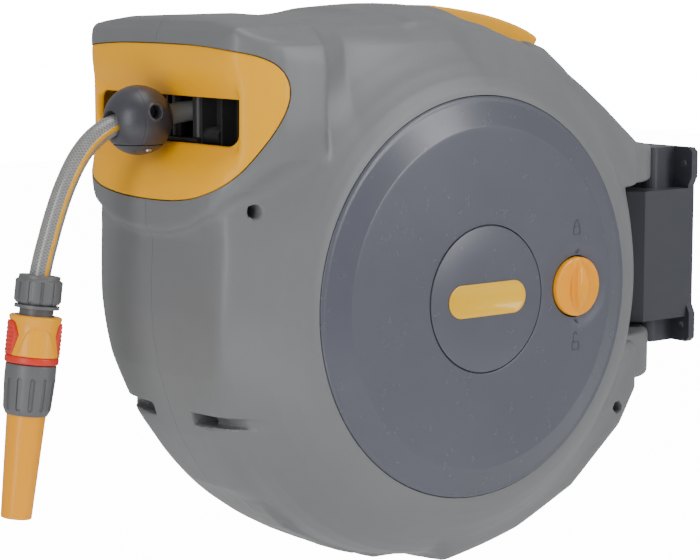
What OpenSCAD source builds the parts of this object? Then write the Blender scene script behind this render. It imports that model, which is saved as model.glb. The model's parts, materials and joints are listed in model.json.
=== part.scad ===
// Wall-mounted retracting hose reel with a twist spray nozzle on its hose.
// Origin: centre of the four bracket screws on the wall. +Y goes into the wall, +Z up, +X is the
// lock knob's side. Everything on the reel is drawn about the drum axis and moved out by reach.

/* [Reel housing] */
// Wall face to drum axis
reach = 345; // [345:1:400]
// Half the width over the two side covers
half_w = 127; // [125:1:150]
// Radius of the round body at its middle
body_r = 230; // [228:1:270]
// Wall thickness of the mouldings
wall = 3; // [2:0.25:3.5]
// Side cover radius
cover_r = 165; // [150:1:170]
// Gap between parts that lift apart
gap = 0.4; // [0.3:0.05:0.5]

/* [Drum] */
// Drum flange radius
flange_r = 181; // [178:1:182]
// Drum hub radius
hub_r = 100; // [90:1:110]
// Half the distance between the flanges
drum_half = 86; // [80:1:90]
// Layers of hose wound on the hub
hose_layers = 4; // [3:1:4]
// Hollow axle outer radius
axle_r = 12; // [10:0.5:14]

/* [Hose and ball stop] */
// Hose outer diameter
hose_d = 16.7; // [14:0.1:17]
// Ball stop radius
ball_r = 27.5; // [26:0.5:28]

/* [Spray nozzle] */
// Nozzle barrel length
barrel_len = 86; // [80:1:110]
// Barrel radius at the sleeve
barrel_r = 15.4; // [15:0.1:16]
// Barrel radius at the mouth
mouth_r = 12; // [11:0.1:13]
// Grip sleeve length
sleeve_len = 40; // [36:1:48]
// Grip sleeve radius
sleeve_r = 20.5; // [20:0.25:23]
// Hose nut radius
nut_r = 18.2; // [17:0.1:20]

/* [Wall bracket] */
// Half the bracket's width
bracket_half = 46; // [42:1:50]
// Bracket height
bracket_h = 183; // [170:1:200]
// Swivel pin radius
pin_r = 6; // [5:0.25:7]
// Screw hole radius
screw_hole_r = 3.5; // [2.5:0.1:4]

/* [Hidden] */
$fn = 64;

grey = "#7f8183";
dark = "#4a4c54";
yellow = "#fdb813";
red = "#e2463a";
steel = "#b9bcc0";

// Places about the drum axis, Y back and Z up
drum_drop = 10.5;                         // drum axis below the bracket screws' centre
seam = 0.15;                            // half the gap between the housing halves
end_wall_x = half_w - 20;               // outer face of the wall that carries the axle
recess_y = 203;                         // rear face between the lugs
lug_top = [75, 108];                    // upper lug, bottom and top
lug_low = [-104, -62];                  // lower lug, bottom and top
pivot_y = 236;                          // swivel pin axis
lug_r = 65;                             // lugs are round about the pin
foot_x = 44;                            // right face of the skid under the right half
well_r = 192;                           // floor radius of the hand well
grip_top = [[38, 236.8], [63, 233.5], [84, 231.5], [119, 224], [143, 217], [163, 208.5]];
grip_under = [[140, 199], [117, 206], [84, 213], [60, 215.5], [38, 218]];

// Traverse drive
gear_mod = 3;
drum_teeth = 124;
pinion_teeth = 16;
gear_pitch_r = gear_mod * drum_teeth / 2;
pinion_pitch_r = gear_mod * pinion_teeth / 2;
screw_z = 112;
screw_y = -sqrt(pow(gear_pitch_r + pinion_pitch_r, 2) - screw_z * screw_z);
screw_r = 7;
screw_end = 99 * half_w / 127;          // the snout widens with the reel, and the screw spans it
rail_r = 4;
rail_z = 190;
rail_y = -176;

// Hose line from the ball stop to the top of the wound hose
ball_y = -247;
ball_z = 149;
hose_r = hose_d / 2;
hose_bore_r = 6.25;
wound_r = hub_r + 0.2 + hose_layers * hose_d;
top_r = wound_r + hose_r + gap;         // radius of the hose line over the wound hose
ball_dist = sqrt(ball_y * ball_y + ball_z * ball_z);
tangent_a = atan2(ball_z, ball_y) - acos(top_r / ball_dist);
tangent = [top_r * cos(tangent_a), top_r * sin(tangent_a)];
line_len = sqrt(pow(tangent[0] - ball_y, 2) + pow(tangent[1] - ball_z, 2));
line_tilt = atan2(tangent[1] - ball_z, tangent[0] - ball_y);

// Lock
knob_y = 101;
knob_z = 2;
knob_r = 25;
spindle_r = 6.8;
ratchet_tip_r = 127;
ratchet_root_r = 137;
ratchet_teeth = 16;

// The spray end hangs from the hose along this line
spray_top = [0, -338.4, 33.9];
spray_tilt = 7.7;
nut_len = 22;
neck_len = 9;
collar_len = 31;
ring_len = 6;
collar_r = 21.2;
bore_r = 6;                             // water way through the fittings
plug_r = 7.6;                           // male plug that pushes into the connector
collar_z = -(nut_len + neck_len);       // top of the collar along the spray line
ring_z = collar_z - collar_len;
sleeve_z = ring_z - ring_len - gap;
barrel_z = sleeve_z - sleeve_len + 6;   // the barrel's top edge, up inside the sleeve

// Water inlet, low on the left cover
inlet_x = -end_wall_x - 13;
inlet_y = 60;
inlet_z = -100;
inlet_len = norm([inlet_y, inlet_z]);
inlet_a = atan2(inlet_y, -inlet_z);     // turns straight down towards the wall
arbor_r = 20;
pawl_len = 32;
screw_dx = 36;                          // bracket screws from the centre, sideways
screw_dz = 76.5;                        // and up or down

// Hose centre line from the ball stop to the nut, about the drum axis
hose_line = [[0, -252, 148.3], [0, -262, 147.2], [0, -272, 144.8], [0, -282, 140.4], [0, -291, 134],
  [0, -299, 126], [0, -306, 116.5], [0, -312, 106], [0, -317.5, 95], [0, -322.5, 83], [0, -327, 71],
  [0, -331, 59], [0, -334.8, 47.5], [0, -338.4, 33.9], [0, -340, 22]];

function arc(c, r, a0, a1, n) = [for (i = [0:n]) c + r * [cos(a0 + (a1 - a0) * i / n), sin(a0 + (a1 - a0) * i / n)]];
function mirrored(right) = concat(right, [for (i = [len(right) - 1:-1:0]) [-right[i][0], right[i][1]]]);

// Moves a piece drawn about the drum axis to its place
module on_reel() translate([0, -reach, -drum_drop]) children();
// A length along X, centred on x = a..b
module along_x(a, b) translate([a, 0, 0]) rotate([90, 0, 90]) linear_extrude(b - a) children();
module rod_x(r, a, b, y = 0, z = 0) translate([a, y, z]) rotate([0, 90, 0]) cylinder(r = r, h = b - a);
module ring_x(r, inner, a, b, y = 0, z = 0) difference() {
  rod_x(r, a, b, y, z);
  rod_x(inner, a - 1, b + 1, y, z);
}
// A prism seen from the front, along Y from a to b
module along_y(a, b) translate([0, b, 0]) rotate([90, 0, 0]) linear_extrude(b - a) children();
module spin_x() rotate([0, 90, 0]) rotate_extrude($fn = 96) children();
// Spray line frame: z = 0 at the top of the nut, z falling towards the mouth
module on_spray() on_reel() translate(spray_top) rotate([-spray_tilt, 0, 0]) children();
module tube(r, inner, z0, z1) difference() {
  translate([0, 0, z0]) cylinder(r = r, h = z1 - z0);
  translate([0, 0, z0 - 1]) cylinder(r = inner, h = z1 - z0 + 2);
}
module o_ring(r, wire, z = 0) translate([0, 0, z]) rotate_extrude() translate([r, 0]) circle(wire, $fn = 24);

// ---- housing outlines; w is how far inside the outer skin ----
module round_body(w) {
  e = half_w - w;
  s = half_w - 127;                     // a wider reel keeps its shoulder and widens its middle
  right = [[e, cover_r + 2 - w], [s + 124 - w, cover_r + 12 - w], [s + 116 - w, cover_r + 26 - w],
    [s + 106 - w, body_r - 26 - w], [s + 91 - w, body_r - 15 - w], [s + 70, body_r - 7 - w],
    [s + 45, body_r - 2 - w], [0, body_r - w]];
  spin_x() polygon([for (p = concat([[e, 0]], right, [for (i = [6:-1:0]) [-right[i][0], right[i][1]]], [[-e, 0]]))
    [p[1], p[0]]]);
}
module snout_side(w) polygon([[-100, 20], [-232 + w, -8], [-232 + w, 58 + w], [-241 + w, 66 + w],
  [-242 + w, 84], [-236 + w, 150], [-228 + w, 218], [-222 + w, 228 - w], [-212, 231.5 - w], [-60, 234 - w], [-20, 229 - w]]);
module snout_plan(w) polygon(mirrored(concat([[104 - w, 20], [104 - w, -128], [120 - w, -152]],
  arc([120 - 62, -242 + 62 + 6], 62 - w, 0, -90, 10))));
module snout_front(w) polygon(mirrored([[96 - w, -8], [96 - w, 60], [100 - w, 97], [113 - w, 124], [121 - w, 158],
  [122 - w, 192], [116 - w, 210], [102 - w, 224 - w], [70, 231 - w], [0, 240 - w]]));
module snout(w) intersection() {
  along_x(-124 + w, 124 - w) snout_side(w);
  translate([0, 0, -20]) linear_extrude(270) snout_plan(w);
  along_y(-260, 30) snout_front(w);
}
module rear_slab(w) {
  along_x(-88 + w, 88 - w) polygon([[0, body_r - w], [60, 214 - w], [102, 193 - w], [126, 181.5 - w],
    [155, 165.5 - w], [182, 148.5 - w], [226 - w, 114 - w], [226 - w, -106 + w], [206 - w, -138 + w],
    [147, -186 + w], [80, -212 + w], [0, -body_r + w], [0, 0]]);
  // higher crown in the middle, behind the grip
  along_x(-54 + w, 54 - w) polygon([[-70, 233 - w], [0, 234.5 - w], [40, 235 - w], [90, 226 - w], [137, 209 - w], [158, 203 - w],
    [179 - w / 2, 187 - w], [204 - w / 2, 165 - w], [226 - w, 144 - w], [226 - w, 0], [0, 0]]);
}
// The saddle the grip spans, and the well under it for the fingers
module hand_well(w) {
  along_x(-150, 150) polygon([[32 - w, 300], [36 - w, 234], [44 - w, 222 - w], [54 - w, 215 - w], [68, 210.5 - w],
    [96, 208 - w], [126 + w, 200.5 - w], [134 + w, 204], [141 + w, 300]]);
  along_x(-52 - w, 52 + w) polygon(concat([[54 - w, 300]], arc([0, 0], well_r - w, 75 + w * 0.3, 53 - w * 0.3, 8),
    [[134 + w, 300]]));
}
module outer_skin(w) difference() {
  union() {
    round_body(w);
    snout(w);
    rear_slab(w);
  }
  translate([-160, recess_y - w, lug_low[1] - w]) cube([320, 90, lug_top[0] - lug_low[1] + 2 * w]);
  hand_well(w);
}
module lug(z0, z1) difference() {
  union() {
    translate([0, pivot_y, z0]) cylinder(r = lug_r, h = z1 - z0);
    translate([-lug_r, 150, z0]) cube([2 * lug_r, pivot_y - 150, z1 - z0]);
  }
  rod_x(recess_y - 1, -100, 100);
  // the bush sits here
  translate([0, pivot_y, z0 - 1]) cylinder(r = pin_r + 3, h = z1 - z0 + 2);
  // pockets that keep the lug's wall even
  for (s = [-1, 1]) translate([s * 34, pivot_y, z0 + wall * 2]) cylinder(r = 16, h = z1 - z0);
}
// One skid under the right half, with a screw recess in its side
module foot() difference() {
  along_x(22, foot_x) polygon([[-158, -145], [-160, -165], [-153, -174], [-137, -188], [-81, -215.5], [-43, -227.5],
    [2, -229], [14, -224], [14, -200]]);
  rod_x(body_r - 5, 0, 60);
  rod_x(5.5, foot_x - 14, foot_x + 1, -62, -223.5);
}
trim_edge = [[0, 209], [60, 208], [92, 205], [108, 198], [116, 188], [118, 176], [115, 160], [107, 142], [94, 122],
  [74, 102], [44, 89], [0, 84.5]];
module trim_outline(grow) polygon(mirrored([for (p = trim_edge)
  let (c = [0, 150], d = p - c) c + d * (1 + grow / max(norm(d), 1))]));
window_half = 100;                       // half the window's width
window_z = [131.5, 168.5];
module window_outline(grow) polygon(mirrored(concat(
  arc([window_half - 16, window_z[1] - 6], 6 + grow, 90, 45, 4),
  arc([window_half - 6, window_z[1] - 10], 6 + grow, 45, 0, 4),
  arc([window_half - 18, window_z[0] + 18], 18 + grow, 0, -90, 8))));
screw_spots = [[-206, 82], [-176, -88], [-75, -208], [120, -168], [198, -120], [130, 165], [-4, 214], [-120, 205]];
module housing_shell() {
  difference() {
    union() {
      difference() {
        outer_skin(0);
        outer_skin(wall);
        rod_x(cover_r + 0.6, -200, 200);
      }
      lug(lug_top[0], lug_top[1]);
      lug(lug_low[0], lug_low[1]);
      foot();
    }
    along_y(-300, -174) trim_outline(gap);
    // vent slots low on the front
    for (s = [-1, 1]) translate([s * 62, -230, -92]) rotate([0, s * 8, 0]) cube([64, 60, 8], center = true);
    // the grip bar's two seats
    grip_bar_body(gap);
  }
}
// Wall inside each half that carries the axle and holds the side cover
module end_wall() difference() {
  union() {
    ring_x(cover_r + 4, axle_r + 6, end_wall_x - wall, end_wall_x);
    ring_x(cover_r + 4, cover_r + 0.6, end_wall_x - wall, half_w - 1.5);
    ring_x(axle_r + 8, axle_r + 3.2, end_wall_x - 9, end_wall_x + 4);
  }
  rod_x(spindle_r + 0.06, end_wall_x - 20, half_w, knob_y, knob_z);
}
module half_space(s) translate([s > 0 ? seam : -200, -320, -300]) cube([200 - seam, 640, 600]);
// Screw bosses run from the seam out to the shoulder
module screw_bosses() intersection() {
  union() for (p = screw_spots) rod_x(6, -half_w, half_w, p[0], p[1]);
  outer_skin(1);
}
module housing_half(s) difference() {
  intersection() {
    union() {
      housing_shell();
      screw_bosses();
      mirror([s < 0 ? 1 : 0, 0, 0]) end_wall();
    }
    half_space(s);
  }
  for (p = screw_spots) rod_x(2, -28, 28, p[0], p[1]);
  // room for the swivel pin's head and cap
  for (z = [lug_low[0] - 20, lug_top[1]]) translate([0, pivot_y, z]) cylinder(r = pin_r + 4 + gap, h = 20);
}

module housing_right() color(grey) on_reel() housing_half(1);
module housing_left() color(grey) on_reel() housing_half(-1);
module outlet_trim() color(yellow) on_reel() difference() {
  union() {
    intersection() {
      difference() {
        snout(-0.5);
        snout(wall);
      }
      along_y(-300, -174) trim_outline(0);
    }
    // funnel walls round the window
    intersection() {
      difference() {
        along_y(-238, -208) window_outline(12);
        along_y(-300, -211) window_outline(9);
        along_y(-300, -200) window_outline(0);
      }
      snout(0);
      along_y(-300, -174) trim_outline(0);
    }
  }
  // the slopes above and below the window that the ball stop rests against
  intersection() {
    along_y(-300, -225) window_outline(9);
    translate([4 - window_half, -300, 0]) cube([2 * window_half - 8, 200, 300]);
  }
  along_y(-300, -200) window_outline(0);
}
module grip_bar_body(g) along_x(-19 - g, 19 + g) polygon(concat([for (p = grip_top) p + [0, g]],
  [[167 + g, 206], [158 + g, 192]], [for (p = grip_under) p - [0, g]]));
module grip_bar() color(yellow) on_reel() grip_bar_body(0);
// Side cover: a shallow dish with a bevelled rim
module cover_profile(h) polygon([[0, h - wall], [cover_r - 26, h - wall], [cover_r - 3, -6], [cover_r, -6],
  [cover_r, 1], [cover_r - 4, 1.5], [cover_r - 24, h], [0, h]]);
module cover(s) difference() {
  mirror([s < 0 ? 1 : 0, 0, 0]) translate([half_w, 0, 0]) spin_x() cover_profile(9);
  mirror([s < 0 ? 1 : 0, 0, 0]) rod_x(61, half_w + 7, half_w + 20);
}
module side_cover_right() color(dark) on_reel() difference() {
  cover(1);
  rod_x(knob_r + 1.5, half_w - 20, half_w + 20, knob_y, knob_z);
}
module side_cover_left() color(dark) on_reel() difference() {
  cover(-1);
  rod_x(10.5, -half_w - 20, -half_w + 20, inlet_y, inlet_z);
}
module hub_disc(s) mirror([s < 0 ? 1 : 0, 0, 0]) rod_x(60, half_w + 7, half_w + 9.5);
module hub_disc_right() color(dark) on_reel() hub_disc(1);
module hub_disc_left() color(dark) on_reel() hub_disc(-1);
module badge_plate() color(yellow) on_reel() translate([half_w + 9.5, 0, 0]) rotate([90, 0, 90]) linear_extrude(1)
  union() {
    square([56, 27], center = true);
    for (s = [-1, 1]) translate([s * 28, 0]) circle(13.5);
  }
module swivel_bushes() color(steel) on_reel() translate([0, pivot_y, 0]) {
  tube(pin_r + 3, pin_r + 0.05, lug_top[0], lug_top[1]);
  tube(pin_r + 3, pin_r + 0.05, lug_low[0], lug_low[1]);
}
module housing_screws() color(steel) on_reel() for (p = screw_spots)
  rod_x(1.9, -26, 26, p[0], p[1]);
module axle() color(steel) on_reel() ring_x(axle_r, axle_r - 3, -end_wall_x - 4, end_wall_x + 4);
module axle_bearings() color(dark) on_reel() for (s = [-1, 1]) ring_x(axle_r + 3.2, axle_r,
  s > 0 ? end_wall_x - 9 : -end_wall_x - 4, s > 0 ? end_wall_x + 4 : -end_wall_x + 9);
module inlet_elbow() color(dark) on_reel() difference() {
  union() {
    rod_x(axle_r + 1.6, inlet_x - 8.4, -end_wall_x - 4 - gap);
    rotate([inlet_a, 0, 0]) translate([inlet_x, 0, -inlet_len]) cylinder(r = 7.6, h = inlet_len);
    rod_x(9.6, inlet_x - 8.8, inlet_x + 8.8, inlet_y, inlet_z);
  }
  rod_x(axle_r - 4, inlet_x - 1.5, 0);
  rotate([inlet_a, 0, 0]) translate([inlet_x, 0, 0.5 - inlet_len]) cylinder(r = bore_r - 1, h = inlet_len - 1);
  rod_x(bore_r - 1.5, inlet_x - 10, inlet_x + 1, inlet_y, inlet_z);
}
module inlet_spigot() color(dark) on_reel() difference() {
  union() {
    rod_x(10, inlet_x - 24, inlet_x - 8.8, inlet_y, inlet_z);
    rod_x(plug_r, inlet_x - 46, inlet_x - 24, inlet_y, inlet_z);
    rod_x(plug_r + 1.4, inlet_x - 34, inlet_x - 31, inlet_y, inlet_z);
  }
  rod_x(bore_r - 1.5, inlet_x - 50, inlet_x, inlet_y, inlet_z);
  translate([inlet_x - 42, inlet_y, inlet_z]) rotate([0, 90, 0]) o_ring(plug_r, 1.2);
}
module inlet_o_ring() color("#222222") on_reel() translate([inlet_x - 42, inlet_y, inlet_z]) rotate([0, 90, 0])
  o_ring(plug_r, 1.15);
module water_seal() color("#222222") on_reel() ring_x(axle_r + 3, axle_r, -drum_half + 8, -drum_half + 12);
module spring_arbor() color(steel) on_reel() ring_x(arbor_r, axle_r, 16, 74);
module guide_rail() color(steel) on_reel() rod_x(rail_r, -116.2, 116.2, rail_y, rail_z);

// ---- drum ----
module hub_web(a) difference() {
  ring_x(hub_r, axle_r + 0.08, a, a + 4);
  for (k = [0:5]) rod_x(17, a - 1, a + 5, 58 * cos(60 * k + 30), 58 * sin(60 * k + 30));
}
module drum_core() color(dark) on_reel() {
  ring_x(hub_r, hub_r - wall, -drum_half, drum_half);
  hub_web(-drum_half + 2);
}
module flange(s) difference() {
  ring_x(flange_r, hub_r - wall, s > 0 ? drum_half : -drum_half - 4, s > 0 ? drum_half + 4 : -drum_half);
  for (k = [0:11]) rod_x(14, -drum_half - 5, drum_half + 5, 150 * cos(30 * k + 15), 150 * sin(30 * k + 15));
}
function tooth(r, m, a, pitch) = [[r - 1.2 * m, a - 0.36 * pitch], [r, a - 0.22 * pitch], [r + 0.9 * m, a - 0.09 * pitch],
  [r + 0.9 * m, a + 0.09 * pitch], [r, a + 0.22 * pitch], [r - 1.2 * m, a + 0.36 * pitch]];
function gear(n, m, turn = 0) = [for (k = [0:n - 1]) for (p = tooth(n * m / 2, m, turn + k * 360 / n, 360 / n))
  [p[0] * cos(p[1]), p[0] * sin(p[1])]];
mesh_a = atan2(screw_z, screw_y);       // direction of the screw from the drum axis
module drum_flange_right() color(dark) on_reel() {
  flange(1);
  difference() {
    along_x(drum_half + 4, drum_half + 11) polygon(gear(drum_teeth, gear_mod, mesh_a));
    rod_x(flange_r - 8, drum_half, drum_half + 20);
  }
  // ratchet ring with its teeth pointing in
  difference() {
    union() {
      ring_x(ratchet_root_r + 5, ratchet_root_r, drum_half + 4, drum_half + 14);
      for (k = [0:ratchet_teeth - 1]) rotate([(k + 0.5) * 360 / ratchet_teeth, 0, 0])
        translate([drum_half + 4, ratchet_tip_r - 1, -4]) cube([10, ratchet_root_r + 3 - ratchet_tip_r, 8]);
    }
    rod_x(ratchet_tip_r, drum_half, drum_half + 20);
  }
}
module drum_flange_left() color(dark) on_reel() flange(-1);
module wound_hose() color("#a3a6a8") on_reel() {
  turns = floor(2 * drum_half / hose_d);
  step = 2 * drum_half / turns;
  lie = wound_r - hose_r;               // centre line of the top layer
  spin_x() difference() {
    union() {
      translate([hub_r + 0.2, -drum_half + 0.1]) square([lie - hub_r - 0.2, 2 * drum_half - 0.2]);
      for (i = [0:turns - 1]) translate([lie, -drum_half + (i + 0.5) * step]) circle(hose_r - 0.1, $fn = 24);
    }
    translate([lie, drum_half - 0.1]) square([20, 10]);
    translate([lie, -drum_half - 9.9]) square([20, 10]);
    // the layers below the top one are left hollow
    translate([hub_r + 2, -drum_half + 5]) square([lie - hose_r - hub_r - 2, 2 * drum_half - 10]);
  }
}
barrel_out = hub_r - wall - 4;
module spring_barrel() color(dark) on_reel() {
  ring_x(barrel_out, barrel_out - wall, 12, 78);
  ring_x(barrel_out, arbor_r + 1, 9, 12);
  ring_x(hub_r - wall, barrel_out, 40, 50);
}
module spring_cover() color(dark) on_reel() {
  ring_x(hub_r - wall, arbor_r + 1, 78, 80.5);
  ring_x(arbor_r + 1, axle_r + 0.08, 76, 80.5);
}
spring_turns = 9;
spring_thick = 1.6;
// Outer side of the spiral at t = 0 (arbor) to 1 (barrel)
function spiral_r(t) = arbor_r + 0.3 + spring_thick + (barrel_out - wall - 0.6 - arbor_r - spring_thick) * t;
module mainspring() color("#6d7076") on_reel() {
  n = spring_turns * 40;
  along_x(16, 74) polygon(concat(
    [for (i = [0:n]) spiral_r(i / n) * [cos(i * 9), sin(i * 9)]],
    [for (i = [n:-1:0]) (spiral_r(i / n) - spring_thick) * [cos(i * 9), sin(i * 9)]]));
}

// ---- traverse ----
module traverse_screw() color(steel) on_reel() rod_x(screw_r, -screw_end, screw_end, screw_y, screw_z);
module traverse_gear() color(dark) on_reel() difference() {
  translate([0, screw_y, screw_z]) along_x(drum_half + 4.2, drum_half + 9.2)
    polygon(gear(pinion_teeth, gear_mod, mesh_a + 180 + 180 / pinion_teeth));
  rod_x(screw_r, 0, 200, screw_y, screw_z);
}
module traverse_bearings() color(dark) on_reel() for (s = [-1, 1])
  ring_x(screw_r + 2.2, screw_r + 0.06, s > 0 ? screw_end - 1.7 : -screw_end - 0.6, s > 0 ? screw_end + 0.6 : -screw_end + 5, screw_y, screw_z);

// ---- hose guide ----
module on_line() translate([0, ball_y, ball_z]) rotate([line_tilt, 0, 0]) rotate([-90, 0, 0]) children();
roller_x = hose_r + 5.5 + 0.5;
roller_y = -198;
roller_z = [134, 171];
module guide_carriage() color(dark) on_reel() difference() {
  union() {
    translate([-21, -189, 101]) cube([42, 24, 99]);
    // ears over and under the two rollers
    for (z = [roller_z[0] - 3.4, roller_z[1] + 0.4]) translate([-22, -206, z]) cube([44, 20, 3]);
    for (s = [-1, 1]) translate([s * roller_x, roller_y, roller_z[0] - 3]) cylinder(r = 1.5, h = 40, $fn = 24);
    // wings that shade the window
    for (s = [-1, 1]) {
      translate([s > 0 ? 21 : -54, -189, 118]) cube([33, 3, 62]);
      for (x = [24, 51]) translate([s * x - 1, -203, 118]) cube([2, 15, 62]);
      rod_x(7.5, min(s * 21, s * 46), max(s * 21, s * 46), -195, 136);
    }
  }
  rod_x(rail_r + 0.08, -60, 60, rail_y, rail_z);
  rod_x(screw_r + 0.3, -60, 60, screw_y, screw_z);
  on_line() cylinder(r = hose_r + 0.5, h = 120);
  translate([-roller_x - 7, -206, roller_z[0]]) cube([2 * roller_x + 14, 15, roller_z[1] - roller_z[0]]);
}
module guide_roller(s) color("#2c2d31") on_reel() translate([s * roller_x, roller_y, 0])
  tube(5.5, 1.55, roller_z[0] + 0.3, roller_z[1] - 0.3);
module guide_roller_left() guide_roller(-1);
module guide_roller_right() guide_roller(1);
module inner_hose() color("#a3a6a8") on_reel() on_line() tube(hose_r, hose_bore_r, -4.7, line_len);
// Ball stop: a shell slipped over the hose from above and a cap that closes it from below
ball_split = -18.6;                     // the cap's joint below the ball's centre
ball_slot = hose_r + 0.3;
module ball_shell() color(dark) on_reel() difference() {
  intersection() {
    translate([0, ball_y, ball_z]) sphere(ball_r, $fn = 96);
    translate([-50, -300, ball_z + ball_split + 0.1]) cube([100, 100, 100]);
  }
  on_line() translate([0, 0, -60]) cylinder(r = ball_slot, h = 120);
  on_line() translate([0, 0, -34]) cylinder(r1 = hose_r + 6, r2 = hose_r + 0.3, h = 14);
  translate([-ball_slot, -300, ball_z - 40]) cube([2 * ball_slot, 100, 40]);
  for (s = [-1, 1]) {
    rod_x(5.6, min(s * 15, s * 30), max(s * 15, s * 30), ball_y, ball_z + 7.4);
    translate([s * 14, ball_y, ball_z + ball_split - 1]) cylinder(r = 1.4, h = 12);
  }
}
module ball_cap() color(dark) on_reel() difference() {
  intersection() {
    translate([0, ball_y, ball_z]) sphere(ball_r, $fn = 96);
    union() {
      translate([-50, -300, ball_z + ball_split - 20]) cube([100, 100, 20]);
      translate([0.2 - ball_slot, -300, ball_z - 30]) cube([2 * ball_slot - 0.4, 100, 26]);
    }
  }
  on_line() translate([0, 0, -60]) cylinder(r = ball_slot, h = 120);
  on_line() translate([0, 0, -34]) cylinder(r1 = hose_r + 6, r2 = hose_r + 0.3, h = 14);
  for (s = [-1, 1]) translate([s * 14, ball_y, ball_z - 30]) {
    cylinder(r = 1.5, h = 20);
    cylinder(r = 3, h = 8);
  }
}
module ball_screws() color(steel) on_reel() for (s = [-1, 1]) translate([s * 14, ball_y, ball_z - 22]) {
  cylinder(r = 1.4, h = 12);
  translate([0, 0, -1.5]) cylinder(r = 2.8, h = 1.5);
}
// A round tube swept along points in the plane x = 0, or along a coil
function unit(v) = v / norm(v);
function heading(p, i) = unit(p[min(i + 1, len(p) - 1)] - p[max(i - 1, 0)]);
function ring_at(c, t, r, n, side) = let (v = unit(cross(t, side)), u = unit(cross(v, t)))
  [for (k = [0:n - 1]) c + r * (u * cos(360 * k / n) + v * sin(360 * k / n))];
module sweep(p, r, n, side = [1, 0, 0]) {
  m = len(p);
  polyhedron([for (i = [0:m - 1]) for (q = ring_at(p[i], heading(p, i), r, n, side)) q],
    concat([[for (k = [0:n - 1]) k]],
      [for (i = [0:m - 2]) for (k = [0:n - 1]) [i * n + k, (i + 1) * n + k, (i + 1) * n + (k + 1) % n]],
      [for (i = [0:m - 2]) for (k = [0:n - 1]) [i * n + k, (i + 1) * n + (k + 1) % n, i * n + (k + 1) % n]],
      [[for (k = [n - 1:-1:0]) (m - 1) * n + k]]), convexity = 8);
}
function coil(r, pitch, turns, z) = [for (i = [0:turns * 14])
  [r * cos(i * 360 / 14), r * sin(i * 360 / 14), z - pitch * i / 14]];
module outer_hose() color("#a3a6a8") on_reel() sweep(hose_line, hose_r, 12);

// ---- hose connector, drawn down the spray line ----
module hose_nut() color(grey) on_spray() difference() {
  union() {
    tube(nut_r, hose_r + 0.4, -nut_len, -3);
    tube(nut_r - 2.2, hose_r + 0.4, -4, 0);
  }
  for (k = [0:9]) rotate(k * 36) translate([nut_r + 1.2, 0, -nut_len + 5]) cylinder(r = 2.2, h = nut_len, $fn = 24);
  translate([0, 0, -nut_len - 1]) cylinder(r = 13.6, h = nut_len - 6);
}
module hose_collet() color("#e8e8e4") on_spray() difference() {
  tube(13.2, hose_r + 0.15, -nut_len + 3, -8);
  for (k = [0:3]) rotate(k * 90) translate([6, -0.8, -nut_len + 6]) cube([10, 1.6, nut_len]);
}
module connector_body() color(grey) on_spray() difference() {
  union() {
    // hose tail inside the hose
    translate([0, 0, -24]) cylinder(r = hose_bore_r - 0.15, h = 11.7);
    translate([0, 0, collar_z - 6]) cylinder(r = 13.2, h = neck_len + 6 + 2.7);
    translate([0, 0, -nut_len - 3.5]) cylinder(r = 17.4, h = 2.5);
    // stops the collar and carries its spring
    translate([0, 0, collar_z - 8.5]) cylinder(r = 16.7, h = 2.2);
    translate([0, 0, ring_z - ring_len + 0.6]) cylinder(r = 14.4, h = collar_len + ring_len - 6);
  }
  translate([0, 0, -100]) cylinder(r = bore_r - 1.5, h = 100);
  translate([0, 0, ring_z - ring_len]) cylinder(r = plug_r + 2.4, h = 29);
}
module connector_jaws() color("#e8e8e4") on_spray() difference() {
  tube(plug_r + 2.3, plug_r + 0.25, ring_z - 2, ring_z + 5);
  for (k = [0:2]) rotate(k * 120) translate([5, -1.2, ring_z - 3]) cube([12, 2.4, 9]);
}
module connector_seal() color("#222222") on_spray() o_ring(plug_r + 1.28, 1.1, ring_z + 12);
module stop_valve() color(red) on_spray() {
  tube(6.6, 3.6, ring_z + 15.3, ring_z + 17.3);
  translate([0, 0, ring_z + 17.2]) tube(4.9, 3.6, 0, 2.4);
}
module stop_valve_spring() color(steel) on_spray() sweep(coil(5.6, 1.5, 3, ring_z + 22.55), 0.35, 6, [0, 0, 1]);
module release_collar() color(yellow) on_spray() difference() {
  union() {
    translate([0, 0, ring_z]) cylinder(r1 = collar_r - 0.4, r2 = collar_r, h = collar_len - 3);
    translate([0, 0, collar_z - 3]) cylinder(r1 = collar_r, r2 = collar_r - 1.4, h = 3);
  }
  translate([0, 0, ring_z - 1]) cylinder(r = 17, h = collar_len - 5);
  translate([0, 0, ring_z - 1]) cylinder(r = 14.48, h = collar_len + 2);
  collar_grip_shapes(0.1);
}
module collar_grip_shapes(g) for (s = [-1, 1]) intersection() {
  tube(collar_r + 0.5 + g, 18.4 - g, ring_z - g, collar_z - 4 + g);
  rotate(70) along_x(s > 0 ? 8 : -40, s > 0 ? 40 : -8) polygon([[-9 - g, ring_z - 1], [9 + g, ring_z - 1],
    [12 + g, ring_z + 16], [8 + g, collar_z - 5 + g], [-8 - g, collar_z - 5 + g], [-12 - g, ring_z + 16]]);
}
module collar_grips() color(red) on_spray() collar_grip_shapes(0);
module collar_ring() color(red) on_spray() tube(collar_r - 0.3, 15, ring_z - ring_len, ring_z - 0.02);
module collar_spring() color(steel) on_spray() sweep(coil(15.7, 4.08, 5, collar_z - 9.4), 0.6, 6, [0, 0, 1]);

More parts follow.
